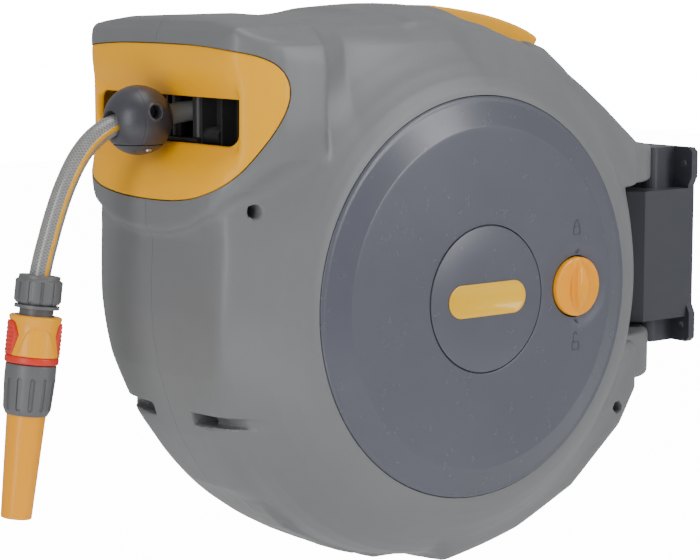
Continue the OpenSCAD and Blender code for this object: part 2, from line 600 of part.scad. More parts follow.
// ---- spray nozzle ----
module nozzle_sleeve() color(grey) on_spray() difference() {
  union() {
    translate([0, 0, sleeve_z - sleeve_len + 6]) cylinder(r1 = sleeve_r - 0.2, r2 = sleeve_r - 0.6, h = sleeve_len - 6);
    translate([0, 0, sleeve_z - sleeve_len]) cylinder(r1 = sleeve_r - 3.4, r2 = sleeve_r - 0.2, h = 6);
  }
  for (k = [0:11]) rotate(k * 30) translate([sleeve_r + 1.4, 0, sleeve_z - sleeve_len - 1])
    cylinder(r = 2.6, h = sleeve_len - 9, $fn = 24);
  translate([0, 0, sleeve_z - sleeve_len - 1]) cylinder(r = barrel_r + 0.4, h = sleeve_len - 4);
  translate([0, 0, sleeve_z - 10]) cylinder(r = 9, h = 12);
}
module nozzle_stem() color("#3a3b40") on_spray() difference() {
  union() {
    translate([0, 0, sleeve_z - 5]) cylinder(r = plug_r, h = ring_z + 15 - sleeve_z + 5);
    translate([0, 0, sleeve_z - 9.9]) cylinder(r = 9, h = 9);
    translate([0, 0, barrel_z + 1]) cylinder(r = 8.4, h = sleeve_len - 16);
    translate([0, 0, barrel_z + 2]) cylinder(r = 9.54, h = 4);
    translate([0, 0, barrel_z - barrel_len + 14]) cylinder(r = 3, h = barrel_len - 10);
    translate([0, 0, barrel_z - barrel_len + 5]) cylinder(r1 = 1.6, r2 = 3, h = 9.5);
  }
  translate([0, 0, sleeve_z - 9]) cylinder(r = bore_r - 1.5, h = 60);
  for (k = [0:2]) rotate(k * 120) translate([0, 0, sleeve_z - sleeve_len + 11]) rotate([0, 90, 0]) cylinder(r = 2.5, h = 12);
  translate([0, 0, sleeve_z - sleeve_len + 11]) cylinder(r = bore_r - 1.5, h = 26);
  o_ring(8.4, 1.2, sleeve_z - sleeve_len + 19);
}
module nozzle_o_rings() color("#222222") on_spray() o_ring(8.4, 1.15, sleeve_z - sleeve_len + 19);
module nozzle_barrel() color(yellow) on_spray() difference() {
  union() {
    translate([0, 0, barrel_z - barrel_len]) cylinder(r1 = mouth_r, r2 = barrel_r, h = barrel_len);
    translate([0, 0, barrel_z - 2]) cylinder(r = 12.4, h = 20);
  }
  translate([0, 0, barrel_z - barrel_len + 12]) cylinder(r1 = mouth_r - 4, r2 = 9.6, h = barrel_len - 11.9);
  translate([0, 0, barrel_z - 16]) cylinder(r = 9.6, h = 40);
  translate([0, 0, barrel_z - barrel_len - 1]) cylinder(r = 3.2, h = 30);
  translate([0, 0, barrel_z - barrel_len - 0.1]) cylinder(r1 = mouth_r - 2, r2 = 3.2, h = 6);
}

// ---- lock ----
module lock_knob() color(yellow) on_reel() difference() {
  union() {
    rod_x(knob_r, half_w + 6, half_w + 11.5, knob_y, knob_z);
    intersection() {
      rod_x(knob_r - 0.5, half_w + 6, half_w + 24, knob_y, knob_z);
      translate([0, knob_y, knob_z]) along_x(half_w + 10, half_w + 20) polygon(mirrored(
        [[0, 25], [3.2, 17], [5.4, 8], [6.2, 0], [5.4, -9], [3.6, -18], [0, -25]]));
    }
  }
  rod_x(4, 0, half_w + 9, knob_y, knob_z);
}
module lock_spindle() color(dark) on_reel() {
  rod_x(4, drum_half + 7, half_w + 9 - gap, knob_y, knob_z);
  rod_x(spindle_r, end_wall_x - wall - 0.2, end_wall_x + 8, knob_y, knob_z);
}
module lock_pawl() color(steel) on_reel() difference() {
  translate([0, knob_y, knob_z]) along_x(drum_half + 8, end_wall_x - wall - 0.6) polygon([[-3, -pawl_len], [3, -pawl_len],
    [7, -8], [8, 4], [4, 8], [-4, 8], [-8, 4], [-7, -8]]);
  rod_x(4, 0, half_w, knob_y, knob_z);
}

// ---- wall bracket ----
module swivel_pin() color(steel) on_reel() {
  translate([0, pivot_y, lug_low[0] - 8]) cylinder(r = pin_r, h = lug_top[1] - lug_low[0] + 9);
  translate([0, pivot_y, lug_top[1] + gap]) cylinder(r = pin_r + 4, h = 4);
}
module pin_cap() color(dark) on_reel() translate([0, pivot_y, 0]) tube(pin_r + 4, pin_r, lug_low[0] - 7, lug_low[0] - gap);
module bracket_column(z0, z1) translate([0, 0, z0]) linear_extrude(z1 - z0) polygon(mirrored(concat(
  [[24, reach - 6]], arc([14, 314], 10, 0, -90, 6))));
module wall_bracket() color(dark) on_reel() {
  mid_z = (lug_top[0] + lug_low[1]) / 2 + 1;
  difference() {
    union() {
      translate([0, pivot_y, lug_low[1] + 1]) cylinder(r = 17, h = lug_top[0] - lug_low[1] - 1 - gap);
      translate([-17, pivot_y, -56]) cube([34, 60, 118]);
      // arm block, open behind the face towards the reel
      difference() {
        translate([0, 0, -57]) linear_extrude(121) polygon(mirrored([[17, 262], [30, 268], [42, 280], [42, reach - 4]]));
        for (s = [-1, 1]) translate([s > 0 ? 21 : -38, 284, -53]) cube([17, reach - 284 + 1, 113]);
      }
      bracket_column(drum_drop + bracket_h / 2 - 38, drum_drop + bracket_h / 2);
      bracket_column(drum_drop - bracket_h / 2, drum_drop - bracket_h / 2 + 26);
      // wall plate with a waist
      along_y(reach - 8, reach) polygon([for (s = [[1, 1], [1, -1], [-1, -1], [-1, 1]])
        for (p = s[0] * s[1] < 0 ? [[bracket_half - 4, 56], [bracket_half, 64], [bracket_half, bracket_h / 2 - 4],
          [bracket_half - 4, bracket_h / 2]] : [[bracket_half - 4, bracket_h / 2], [bracket_half, bracket_h / 2 - 4],
          [bracket_half, 64], [bracket_half - 4, 56]]) [s[0] * p[0], s[1] * p[1] + drum_drop]]);
    }
    translate([0, pivot_y, -200]) cylinder(r = pin_r, h = 400);
    for (x = [-1, 1]) for (z = [-1, 1]) translate([x * screw_dx, 400, drum_drop + z * screw_dz]) rotate([90, 0, 0])
      cylinder(r = screw_hole_r, h = 110);
  }
}

wall_bracket();
swivel_pin();
pin_cap();
housing_right();
housing_left();
outlet_trim();
grip_bar();
side_cover_right();
side_cover_left();
hub_disc_right();
hub_disc_left();
badge_plate();
swivel_bushes();
housing_screws();
axle();
axle_bearings();
inlet_elbow();
inlet_spigot();
inlet_o_ring();
water_seal();
spring_arbor();
guide_rail();
drum_core();
drum_flange_right();
drum_flange_left();
wound_hose();
spring_barrel();
spring_cover();
mainspring();
traverse_screw();
traverse_gear();
traverse_bearings();
guide_carriage();
guide_roller_left();
guide_roller_right();
inner_hose();
ball_shell();
ball_cap();
ball_screws();
outer_hose();
hose_nut();
hose_collet();
connector_body();
connector_jaws();
connector_seal();
stop_valve();
stop_valve_spring();
release_collar();
collar_grips();
collar_ring();
collar_spring();
nozzle_sleeve();
nozzle_stem();
nozzle_o_rings();
nozzle_barrel();
lock_knob();
lock_spindle();
lock_pawl();
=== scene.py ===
import json
import math

import bmesh
import bpy
import numpy as np
import openvdb
from mathutils import Matrix, Vector


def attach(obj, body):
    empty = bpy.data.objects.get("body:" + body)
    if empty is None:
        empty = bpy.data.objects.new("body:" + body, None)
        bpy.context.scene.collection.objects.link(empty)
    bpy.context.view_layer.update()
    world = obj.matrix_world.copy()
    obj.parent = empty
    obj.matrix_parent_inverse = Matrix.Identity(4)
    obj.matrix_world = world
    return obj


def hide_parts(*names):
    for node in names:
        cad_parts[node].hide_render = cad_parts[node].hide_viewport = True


# ---- studio ----
# The reel hangs on a white wall-less set: a pale floor below, soft light from all round, and a long lens
# at the height of the drum, off the lock knob's corner.
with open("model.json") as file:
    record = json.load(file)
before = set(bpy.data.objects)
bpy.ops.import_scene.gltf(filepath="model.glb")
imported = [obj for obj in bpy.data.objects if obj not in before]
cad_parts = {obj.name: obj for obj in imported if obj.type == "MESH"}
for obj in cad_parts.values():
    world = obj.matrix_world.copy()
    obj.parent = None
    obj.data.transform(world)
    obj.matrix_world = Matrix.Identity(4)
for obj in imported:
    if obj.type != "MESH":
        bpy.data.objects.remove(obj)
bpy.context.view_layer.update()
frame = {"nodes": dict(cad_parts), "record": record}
record = frame["record"]
DRUM = Vector((0, -0.345, -0.0105))     # drum axis at the middle of the reel, in the row's frame


def at_drum(x, y, z):
    """A point given about the drum axis in millimetres, in metres in the row's frame."""
    return DRUM + Vector((x, y, z)) / 1000


camera = bpy.data.objects.new("camera", bpy.data.cameras.new("camera"))
bpy.context.scene.collection.objects.link(camera)
turn, rise, reach = math.radians(51.3), math.radians(7.7), 2.0
look_from = Vector((math.cos(rise) * math.sin(turn), -math.cos(rise) * math.cos(turn), math.sin(rise)))
camera.location = at_drum(-42.3, 0, -3) + look_from * reach
camera.rotation_euler = look_from.to_track_quat("Z", "Y").to_euler()
camera.data.sensor_width = 36
camera.data.lens = 117.6
camera.data.clip_end = 60
bpy.context.scene.camera = camera


def soft_lamp(name, spot, aim, width, height, watts, colour=(1, 1, 1)):
    lamp = bpy.data.lights.new(name, "AREA")
    lamp.shape = "RECTANGLE"
    lamp.size, lamp.size_y = width, height
    lamp.energy = watts
    lamp.color = colour
    holder = bpy.data.objects.new(name, lamp)
    bpy.context.scene.collection.objects.link(holder)
    holder.location = spot
    holder.rotation_euler = (Vector(spot) - Vector(aim)).to_track_quat("Z", "Y").to_euler()
    return holder


soft_lamp("light_over", (0.3, -0.2, 2.3), DRUM, 1.5, 1.5, 20)
soft_lamp("light_side", (2.3, 0.9, 0.9), DRUM, 0.7, 1.9, 36)
soft_lamp("light_front", (0.9, -2.7, 0.5), DRUM, 0.8, 1.9, 27)
soft_lamp("light_low", (0.9, -1.3, -0.72), DRUM, 1.6, 0.5, 4)
sky = bpy.data.worlds.new("studio")
bpy.context.scene.world = sky
sky.use_nodes = True
air = sky.node_tree
seen = air.nodes.new("ShaderNodeLightPath").outputs["Is Camera Ray"]
glow = air.nodes.new("ShaderNodeMapRange")
air.links.new(seen, glow.inputs["Value"])
glow.inputs["To Min"].default_value = 0.42     # what lights the reel
glow.inputs["To Max"].default_value = 16.0     # the white backdrop
air.links.new(glow.outputs[0], air.nodes["Background"].inputs["Strength"])
air.nodes["Background"].inputs["Color"].default_value = (1, 1, 1, 1)


def new_object(name, mesh):
    made = bpy.data.objects.new(name, mesh)
    bpy.context.scene.collection.objects.link(made)
    return made


def plain_material(name, colour, roughness):
    material = bpy.data.materials.new(name)
    material.use_nodes = True
    shader = material.node_tree.nodes["Principled BSDF"]
    shader.inputs["Base Color"].default_value = (*colour, 1)
    shader.inputs["Roughness"].default_value = roughness
    return material


floor_mesh = bpy.data.meshes.new("floor")
floor_mesh.from_pydata([(-9, -9, -0.75), (9, -9, -0.75), (9, 9, -0.75), (-9, 9, -0.75)], [], [(0, 1, 2, 3)])
floor = new_object("floor", floor_mesh)
paper = plain_material("floor_paper", (0.93, 0.93, 0.93), 0.9)
shine = paper.node_tree.nodes.new("ShaderNodeMath")        # lit from below, as a light table is
shine.operation = "MULTIPLY"
shine.inputs[1].default_value = 14.0
paper.node_tree.links.new(paper.node_tree.nodes.new("ShaderNodeLightPath").outputs["Is Camera Ray"], shine.inputs[0])
paper.node_tree.links.new(shine.outputs[0], paper.node_tree.nodes["Principled BSDF"].inputs["Emission Strength"])
paper.node_tree.nodes["Principled BSDF"].inputs["Emission Color"].default_value = (1, 1, 1, 1)
floor.data.materials.append(paper)

# ---- casing ----
# Two grey moulded halves meet on the reel's middle plane: a fat barrel round the drum, a ring that holds
# the side cover, a snout with a raised face for the hose outlet, a back slab with two lugs, and a foot.
def lay_grid(low, high, step):
    """Lays the grid that shapes are worked out on, between two corners about the drum axis, in millimetres."""
    global grid_low, grid_step, side, ys, zs, X, Y, Z, real_x
    grid_low, grid_step = low, step
    real_x, ys, zs = (np.arange(low[i], high[i], step, dtype=np.float32) for i in range(3))
    side = np.abs(real_x)
    X, Y, Z = side[:, None, None], ys[None, :, None], zs[None, None, :]


def outline_distance(u, v, points):
    """Signed distance in a plane from a closed outline, negative inside."""
    best = np.full(np.broadcast(u, v).shape, 1e9, np.float32)
    inside = np.zeros(best.shape, bool)
    for (ax, ay), (bx, by) in zip(points, points[1:] + points[:1]):
        ex, ey = bx - ax, by - ay
        t = np.clip(((u - ax) * ex + (v - ay) * ey) / (ex * ex + ey * ey), 0, 1)
        best = np.minimum(best, (u - ax - t * ex) ** 2 + (v - ay - t * ey) ** 2)
        if ay != by:
            inside ^= ((v >= min(ay, by)) & (v < max(ay, by))) & (u < ax + (v - ay) * ex / ey)
    return np.where(inside, -np.sqrt(best), np.sqrt(best)).astype(np.float32)


def melt(a, b, k):
    """Union of two fields with a fillet about k wide."""
    h = np.maximum(k - np.abs(a - b), 0) / k
    return np.minimum(a, b) - h * h * k / 4


def trim_off(a, b, k):
    """Intersection of two fields with a round about k wide."""
    h = np.maximum(k - np.abs(a - b), 0) / k
    return np.maximum(a, b) + h * h * k / 4


def seen_from_front(points):
    return outline_distance(side[:, None], zs[None, :], points)[:, None, :]


def seen_from_side(points):
    return outline_distance(ys[:, None], zs[None, :], points)[None, :, :]


def seen_from_top(points):
    return outline_distance(side[:, None], ys[None, :], points)[:, :, None]


def turned(points):
    """An outline given as (radius, x) spun about the drum axis."""
    radius = np.hypot(ys[:, None], zs[None, :])
    steps = np.arange(0, 360, 1.0, dtype=np.float32)
    field = np.empty((len(side), len(ys), len(zs)), np.float32)
    for i, x in enumerate(side):
        field[i] = np.interp(radius, steps, outline_distance(steps, np.float32(x), points))
    return field


def both_sides(points):
    return points + [(-x, z) for x, z in reversed(points) if x != 0]


def round_corner(cx, cy, radius, start, end, count=8):
    return [(cx + radius * math.cos(math.radians(start + (end - start) * i / count)),
             cy + radius * math.sin(math.radians(start + (end - start) * i / count))) for i in range(count + 1)]


def front_of_reel():
    """The casing's round body with its snout, and the raised face round the outlet."""
    body = turned([(0, -40), (230, -40), (230, 0), (229.3, 25), (227.6, 45), (224, 66), (219.5, 80), (213, 91),
                   (203, 104), (190.5, 115.5), (180, 122.5), (171, 126.2), (163, 127), (0, 127)])
    snout = trim_off(trim_off(
        seen_from_side([(-100, -150), (-176, -146), (-205, -100), (-222, -50), (-230, 0), (-232, 57),
                        (-235, 64), (-237, 84), (-231, 150), (-225, 214),
                        (-219, 224), (-208, 228), (-60, 233), (-10, 229), (0, -150)]),
        seen_from_top([(-30, 20), (104, 20), (104, -122), (112, -146)] + round_corner(54, -174, 62, 0, -90)
                      + [(-30, -236)]), 10),
        seen_from_front([(-30, -200), (0, -200), (30, -150), (58, -95), (78, -45), (90, 5), (96, 62),
                         (98, 97), (106, 124), (113, 150), (114, 192), (108, 210),
                         (94, 223), (66, 230), (0, 236), (-30, 236)]), 14)
    face = trim_off(
        seen_from_side([(-150, 40), (-238, 58), (-241.5, 64), (-242, 84), (-236, 150), (-228, 218), (-222, 227),
                        (-212, 231), (-150, 232)]),
        seen_from_front([(-30, 61), (0, 61), (24, 62.5), (50, 67.5), (80, 80), (101, 98), (116, 121), (126, 150),
                         (130, 178), (127, 196), (118, 210), (98, 223), (60, 229), (0, 232), (-30, 232)]), 5)
    face = trim_off(face, seen_from_top([(-30, -150), (121, -150), (121, -172)]
                                        + round_corner(58, -180, 62.5, 0, -90) + [(-30, -242.5)]), 6)
    return melt(body, snout, 26), face


lay_grid((-10, -254, -244), (132, 308, 250), 2.1)
casing, face = front_of_reel()
slab = trim_off(seen_from_side([(-40, 218), (20, 222), (60, 212), (102, 193), (126, 181.5), (155, 165.5), (182, 148.5),
                                (226, 114), (226, -106), (206, -138), (147, -186), (80, -212), (0, -228), (0, 0)]),
                X - 91, 12)
crown = trim_off(seen_from_side([(-60, 226), (0, 231), (40, 232.5), (90, 223), (137, 206.5), (158, 200), (179, 184.5),
                                 (204, 163), (226, 140), (226, 0), (0, 0)]), X - 52, 34)
casing = melt(melt(casing, slab, 18), crown, 20)
casing = melt(casing, face, 7)
from_axis = np.hypot(Y, Z)
# the back is hollowed between the lugs, where the bracket's arm comes in
hollow = np.maximum(203 - Y, np.abs(Z - 6.5) - 68.5)
casing = trim_off(casing, -hollow, 9)
for low, high in ((75, 108), (-104, -62)):
    middle, half = (low + high) / 2, (high - low) / 2
    disc = np.hypot(X, Y - 236) - 65
    neck = np.maximum(np.abs(X) - 65, np.maximum(150 - Y, Y - 236))
    casing = melt(casing, trim_off(np.minimum(disc, neck), np.abs(Z - middle) - half, 5), 7)
# saddle under the grip, the well for the fingers, and the dish behind the grip's rear end
saddle = seen_from_side([(28, 300), (34, 238), (41, 226), (50, 218), (68, 211), (96, 208), (124, 201.5), (134, 205),
                         (141, 212), (150, 300)])
casing = trim_off(casing, -saddle, 7)
well = trim_off(trim_off(192 - from_axis, X - 50, 14),
                seen_from_side([(52, 300), (54, 200), (50, 180), (60, 160), (116, 130), (122, 156), (134, 196),
                                (142, 300)]), 14)
casing = trim_off(casing, -well, 6)
dish = np.sqrt((X / 1.4) ** 2 + (Y - 150) ** 2 + (Z - 232) ** 2) - 30
casing = trim_off(casing, -dish, 8)
# two slots low on the front that run out into the skin
slot_floor = np.interp(X, [25, 36, 39, 60, 80, 104], [190, 190, 220.5, 221, 217.5, 205])
slot = np.maximum(np.maximum(np.abs(Z + 88 - 0.02 * (X - 60)) - 4.6 + np.maximum(X - 60, 0) * 0.045, 27 - X),
                  np.maximum(slot_floor - from_axis, np.maximum(X - 104, Y)))
casing = trim_off(casing, -slot, 1.5)
for hole_y, hole_z, near_x, radius in ((-206, 82, 60, 5.4), (198, -120, 60, 5)):
    casing = np.maximum(casing, -np.maximum(np.hypot(Y - hole_y, Z - hole_z) - radius, near_x - X))


def skin(name, field):
    """The zero surface of a field on the laid grid, as a mesh in metres in the row's frame."""
    grid = openvdb.FloatGrid(float(field.max()))
    grid.copyFromArray(np.ascontiguousarray(np.clip(field, -4 * grid_step, 4 * grid_step), np.float32))
    points, quads = grid.convertToQuads(0.0)
    points = (points * grid_step + np.array(grid_low)) / 1000 + np.array(DRUM)
    mesh = bpy.data.meshes.new(name)
    mesh.vertices.add(len(points))
    mesh.vertices.foreach_set("co", points.astype(np.float32).ravel())
    mesh.loops.add(4 * len(quads))
    mesh.loops.foreach_set("vertex_index", quads.astype(np.int32).ravel())
    mesh.polygons.add(len(quads))
    mesh.polygons.foreach_set("loop_start", np.arange(0, 4 * len(quads), 4, dtype=np.int32))
    mesh.update(calc_edges=True)
    return new_object(name, mesh)


def apply_modifiers(piece):
    graph = bpy.context.evaluated_depsgraph_get()
    made = bpy.data.meshes.new_from_object(piece.evaluated_get(graph))
    old = piece.data
    piece.modifiers.clear()
    piece.data = made
    bpy.data.meshes.remove(old)


def carve(piece, cutter, how="DIFFERENCE", keep=False):
    cut = piece.modifiers.new("cut", "BOOLEAN")
    cut.object, cut.operation, cut.solver = cutter, how, "MANIFOLD"
    apply_modifiers(piece)
    if not keep:
        bpy.data.objects.remove(cutter)


def soft_shading(piece, degrees=32):
    piece.data.shade_smooth()
    piece.data.set_sharp_from_angle(angle=math.radians(degrees))


def block(name, low, high):
    """A plain cutter between two corners given about the drum axis in millimetres."""
    bm = bmesh.new()
    bmesh.ops.create_cube(bm, size=1)
    low, high = at_drum(*low), at_drum(*high)
    for v in bm.verts:
        v.co = Vector((low[i] + (v.co[i] + 0.5) * (high[i] - low[i]) for i in range(3)))
    mesh = bpy.data.meshes.new(name)
    bm.to_mesh(mesh)
    bm.free()
    return new_object(name, mesh)


def bar(name, outline, axis, start, stop):
    """A straight bar of an outline; axis is X or Y, and the outline is (y, z) or (x, z)."""
    bm = bmesh.new()
    rows = [[bm.verts.new(at_drum(d, a, b) if axis == "X" else at_drum(a, d, b)) for a, b in outline]
            for d in (start, stop)]
    n = len(outline)
    for i in range(n):
        bm.faces.new((rows[0][i], rows[0][(i + 1) % n], rows[1][(i + 1) % n], rows[1][i]))
    bm.faces.new(reversed(rows[0]))
    bm.faces.new(rows[1])
    bmesh.ops.recalc_face_normals(bm, faces=bm.faces)
    mesh = bpy.data.meshes.new(name)
    bm.to_mesh(mesh)
    bm.free()
    return new_object(name, mesh)


def smooth_outline(points, rounds=3):
    for _ in range(rounds):
        points = [q for a, b in zip(points, points[1:] + points[:1])
                  for q in ((a[0] * 0.75 + b[0] * 0.25, a[1] * 0.75 + b[1] * 0.25),
                            (a[0] * 0.25 + b[0] * 0.75, a[1] * 0.25 + b[1] * 0.75))]
    return points


OUTLET = [(0, 209), (50, 208.5), (100, 206), (132, 199), (147, 186), (150, 170), (142, 152), (126, 131), (104, 107),
          (76, 93.5), (40, 87.5), (0, 86.5)]


def round_the_front():
    """How far a place is from the middle, measured along the face as it wraps from the front to the side."""
    bend = np.arctan2(X - 58, np.maximum(-(Y + 180), 0.001))
    wrapped = np.where(Y > -180, 58 + 62.5 * math.pi / 2 + (Y + 180), 58 + 62.5 * bend)
    return np.where(X < 58, X + 0 * Y, wrapped)[:, :, 0]


def outlet_distance():
    """Distance from the yellow outlet's outline, laid round the curved face."""
    outline = smooth_outline(both_sides(OUTLET), 3)
    steps, rows = np.arange(0, 200, 1.0, dtype=np.float32), zs
    flat = outline_distance(steps[:, None], rows[None, :], outline)
    along = round_the_front()
    low = np.clip(along.astype(int), 0, len(steps) - 2)
    share = np.clip(along - low, 0, 1)[:, :, None]
    return flat[low] * (1 - share) + flat[low + 1] * share


def circle(cy, cz, radius, count=128):
    return [(cy + radius * math.cos(2 * math.pi * i / count), cz + radius * math.sin(2 * math.pi * i / count))
            for i in range(count)]


def casing_half(name, field, hollow, seat):
    """Hollows a skin, cuts the seats of the outlet and the side cover, and leaves the half right of the seam."""
    half = skin(name, field)
    carve(half, hollow, keep=True)
    carve(half, seat, keep=True)
    carve(half, bar("cover_seat", circle(0, 0, 165.6, 192), "X", 108, 150))
    carve(half, block("middle", (-60, -400, -400), (0.13, 400, 400)))
    return half


hollow = skin("hollow", np.maximum(casing + 3.4, -8 - real_x[:, None, None]))
skid = trim_off(seen_from_side([(-158, -145), (-160, -165), (-153, -174), (-137, -188), (-81, -215.5), (-43, -227.5),
                                (0, -228.6), (14, -224), (30, -200)]), np.abs(X - 30) - 15, 2.4)
skid = np.maximum(skid, -np.maximum(np.hypot(Y + 62, Z + 224) - 4.6, 32 - X))
with_skid = melt(casing, skid, 3)
lay_grid((-12, -262, 76), (136, -130, 216), 1.0)
seat = skin("outlet_seat", np.maximum(outlet_distance() - 0.4, Y + 150))
lay_grid((-10, -254, -244), (132, 308, 250), 2.1)
casing_right = casing_half("casing_right", with_skid, hollow, seat)
casing_left = casing_half("casing_left", casing, hollow, seat)
bpy.data.objects.remove(hollow)
bpy.data.objects.remove(seat)
casing_left.data.transform(Matrix.Scale(-1, 4, (1, 0, 0)))
casing_left.data.flip_normals()
for half in (casing_right, casing_left):
    soft_shading(half)


class Finish:
    """A material being put together: its shader, and a way to add and join nodes."""

    def __init__(self, name, roughness, colour=(0.5, 0.5, 0.5), **sockets):
        self.material = bpy.data.materials.new(name)
        self.material.use_nodes = True
        self.tree = self.material.node_tree
        self.shader = self.tree.nodes["Principled BSDF"]
        self.shader.inputs["Base Color"].default_value = (*colour, 1)
        self.shader.inputs["Roughness"].default_value = roughness
        for socket, value in sockets.items():
            self.shader.inputs[socket.replace("_", " ")].default_value = value

    def add(self, kind, settings=None, **inputs):
        node = self.tree.nodes.new(kind)
        for key, value in (settings or {}).items():
            setattr(node, key, value)
        for key, value in inputs.items():
            socket = node.inputs[key.replace("_", " ")]
            if isinstance(value, bpy.types.NodeSocket):
                self.tree.links.new(value, socket)
            else:
                socket.default_value = value
        return node

    def to_shader(self, **inputs):
        for key, socket in inputs.items():
            self.tree.links.new(socket, self.shader.inputs[key.replace("_", " ")])


class NodeKit(Finish):
    """A shader node group being put together, with the same way to add and join nodes."""

    def __init__(self, name, inputs, outputs):
        self.tree = bpy.data.node_groups.new(name, "ShaderNodeTree")
        for socket, kind, value in inputs:
            made = self.tree.interface.new_socket(socket, in_out="INPUT", socket_type=kind)
            made.default_value = value
        for socket, kind in outputs:
            self.tree.interface.new_socket(socket, in_out="OUTPUT", socket_type=kind)
        self.given = self.tree.nodes.new("NodeGroupInput").outputs
        self.result = self.tree.nodes.new("NodeGroupOutput").inputs

    def sums(self, operation, a, b):
        node = self.add("ShaderNodeMath", {"operation": operation})
        for socket, value in zip(node.inputs, (a, b)):
            if isinstance(value, bpy.types.NodeSocket):
                self.tree.links.new(value, socket)
            else:
                socket.default_value = value
        return node.outputs[0]

    def put_out(self, **outputs):
        for key, socket in outputs.items():
            self.tree.links.new(socket, self.result[key.replace("_", " ")])


# Moulded plastic: the mould's fine spark grain, slow changes of tone where the melt flowed, faint dust
# that lies on what faces up, and a sheen that is never quite even.
kit = NodeKit("moulded", [("Colour", "NodeSocketColor", (0.5, 0.5, 0.5, 1)), ("Roughness", "NodeSocketFloat", 0.4),
                          ("Grain Size", "NodeSocketFloat", 0.8), ("Grain", "NodeSocketFloat", 0.2),
                          ("Dust", "NodeSocketFloat", 0.1)],
              [("Colour", "NodeSocketColor"), ("Roughness", "NodeSocketFloat"), ("Normal", "NodeSocketVector")])
place = kit.add("ShaderNodeTexCoord").outputs["Object"]
pitch = kit.sums("DIVIDE", 1000, kit.given["Grain Size"])
grain = kit.add("ShaderNodeTexNoise", Vector=place, Scale=pitch, Detail=3.0, Roughness=0.6).outputs["Fac"]
bump = kit.add("ShaderNodeBump", Strength=kit.given["Grain"], Distance=0.0002, Height=grain)
flow = kit.add("ShaderNodeTexNoise", Vector=place, Scale=9.0, Detail=4.0, Roughness=0.55).outputs["Fac"]
fine = kit.add("ShaderNodeTexNoise", Vector=place, Scale=70.0, Detail=5.0, Roughness=0.7).outputs["Fac"]
tone = kit.add("ShaderNodeMapRange", Value=flow, From_Min=0.3, From_Max=0.7, To_Min=0.955, To_Max=1.045).outputs[0]
speck = kit.add("ShaderNodeMapRange", Value=grain, From_Min=0.25, From_Max=0.75, To_Min=0.97, To_Max=1.03).outputs[0]
shade = kit.add("ShaderNodeVectorMath", {"operation": "SCALE"}, Vector=kit.given["Colour"],
                Scale=kit.sums("MULTIPLY", tone, speck))
up = kit.add("ShaderNodeSeparateXYZ", Vector=kit.add("ShaderNodeNewGeometry").outputs["Normal"]).outputs["Z"]
lies = kit.add("ShaderNodeMapRange", Value=up, From_Min=0.35, From_Max=1.0, To_Min=0.0, To_Max=1.0).outputs[0]
patchy = kit.add("ShaderNodeMapRange", Value=fine, From_Min=0.42, From_Max=0.72, To_Min=0.0, To_Max=1.0).outputs[0]
dusty = kit.sums("MULTIPLY", kit.sums("MULTIPLY", lies, patchy), kit.given["Dust"])
final = kit.add("ShaderNodeMixRGB", Fac=dusty, Color1=shade.outputs[0], Color2=(0.62, 0.6, 0.57, 1))
uneven = kit.add("ShaderNodeMapRange", Value=fine, From_Min=0.3, From_Max=0.7, To_Min=-0.02, To_Max=0.02).outputs[0]
kit.put_out(Colour=final.outputs[0], Roughness=kit.sums("ADD", kit.given["Roughness"], uneven), Normal=bump.outputs[0])
MOULDED = kit.tree


def moulded(name, colour, roughness, grain=0.25, size=0.8, dust=0.1, **sockets):
    finish = Finish(name, roughness, colour, **sockets)
    made = finish.add("ShaderNodeGroup", {"node_tree": MOULDED})
    for key, value in (("Colour", (*colour, 1)), ("Roughness", roughness), ("Grain Size", size), ("Grain", grain),
                       ("Dust", dust)):
        made.inputs[key].default_value = value
    finish.to_shader(Base_Color=made.outputs["Colour"], Roughness=made.outputs["Roughness"],
                     Normal=made.outputs["Normal"])
    return finish.material


def dress(piece, material, body=None, replaces=()):
    """Gives a piece its material, and says what it rides on, which finish it takes and what it stands for."""
    piece.data.materials.clear()
    piece.data.materials.append(material)
    if body:
        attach(piece, body)
    if replaces:
        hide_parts(*replaces)
    return piece


grey_plastic = moulded("grey_plastic", (0.168, 0.173, 0.179), 0.4, grain=0.22, size=0.9, dust=0.06)
dress(casing_right, grey_plastic, "reel", ["housing_right"])
dress(casing_left, grey_plastic, "reel", ["housing_left"])

# ---- outlet ----
# A yellow moulding clips into the snout. Its broad face carries on the casing's curve, and slopes in above
# and below the window so that the ball stop rests on the window's two long edges.
WINDOW_TOP, WINDOW_FOOT, WINDOW_HALF = 168.5, 131.5, 98


def window_outline():
    corner = round_corner(WINDOW_HALF - 6, WINDOW_TOP - 7, 6, 90, 0, 6) + round_corner(
        WINDOW_HALF - 18, WINDOW_FOOT + 18, 18, 0, -90, 10)
    return [(-10, WINDOW_TOP - 1)] + corner + [(-10, WINDOW_FOOT)]


lay_grid((-132, -247, 78), (133, -150, 214), 1.0)
body_skin, face = front_of_reel()
outlet = melt(body_skin, face, 7) + 0.4
scoop = trim_off(seen_from_side([(-217, WINDOW_TOP), (-262, 240), (-300, 250), (-300, 66), (-266, 72),
                                 (-219, WINDOW_FOOT)]), X - WINDOW_HALF - 0.4, 6)
outlet = trim_off(outlet, -scoop, 9)
outlet = trim_off(np.maximum(outlet, -outlet - 3.2), outlet_distance(), 1.4)
window = seen_from_front(window_outline())
outlet = trim_off(outlet, -window, 1.6)
outlet_trim = skin("outlet_frame", outlet)
soft_shading(outlet_trim, 40)
yellow_plastic = moulded("yellow_plastic", (1.0, 0.455, 0.0), 0.36, grain=0.12, size=0.7, dust=0.01,
                         Specular_IOR_Level=0.28)
dress(outlet_trim, yellow_plastic, "reel", ["outlet_trim"])

